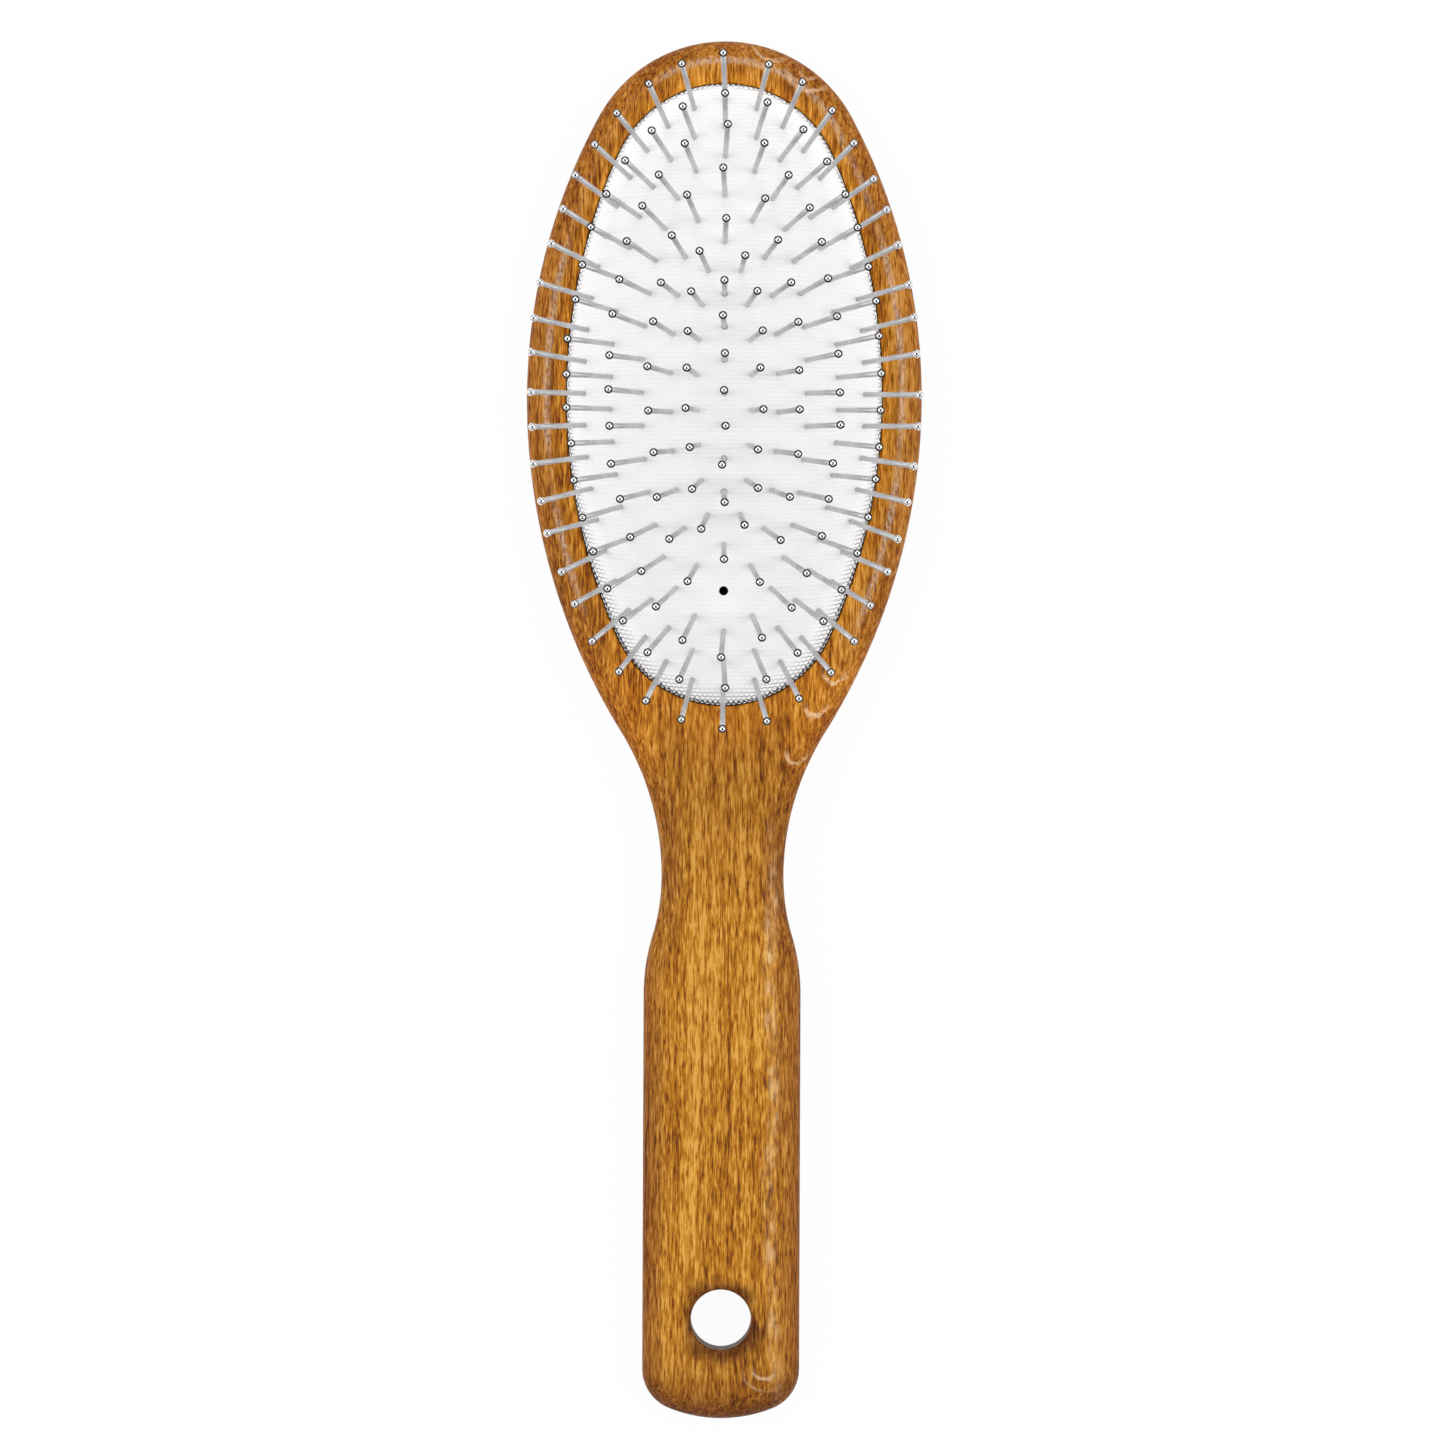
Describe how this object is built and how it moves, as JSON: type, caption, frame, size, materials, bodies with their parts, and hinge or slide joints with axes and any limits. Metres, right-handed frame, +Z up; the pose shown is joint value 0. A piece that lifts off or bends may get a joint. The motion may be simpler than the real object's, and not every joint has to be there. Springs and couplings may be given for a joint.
{
  "type": "pin brush",
  "caption": "Oval wooden pin brush with a domed air cushion, steel pins with ball tips and a hanging hole in the handle.",
  "frame": {"origin": "under the middle of the brush's length and width, on the surface its flat back lies on", "axes": "+Y from the handle to the head, +Z up, the way the pins point"},
  "size_m": [0.0654, 0.228, 0.0385],
  "materials": {
    "wood": "stained and oiled, satin",
    "cushion": "matt, faced with white knitted cloth",
    "pins": "drawn wire, with polished ball tips"
  },
  "bodies": {
    "root": {"wooden_body": "wood", "cushion": "cushion", "pins_centre_row": "pins", "pins_oval_1": "pins", "pins_oval_2": "pins", "pins_oval_3": "pins", "pins_oval_4": "pins", "pins_oval_5": "pins"}
  },
  "joints": []
}
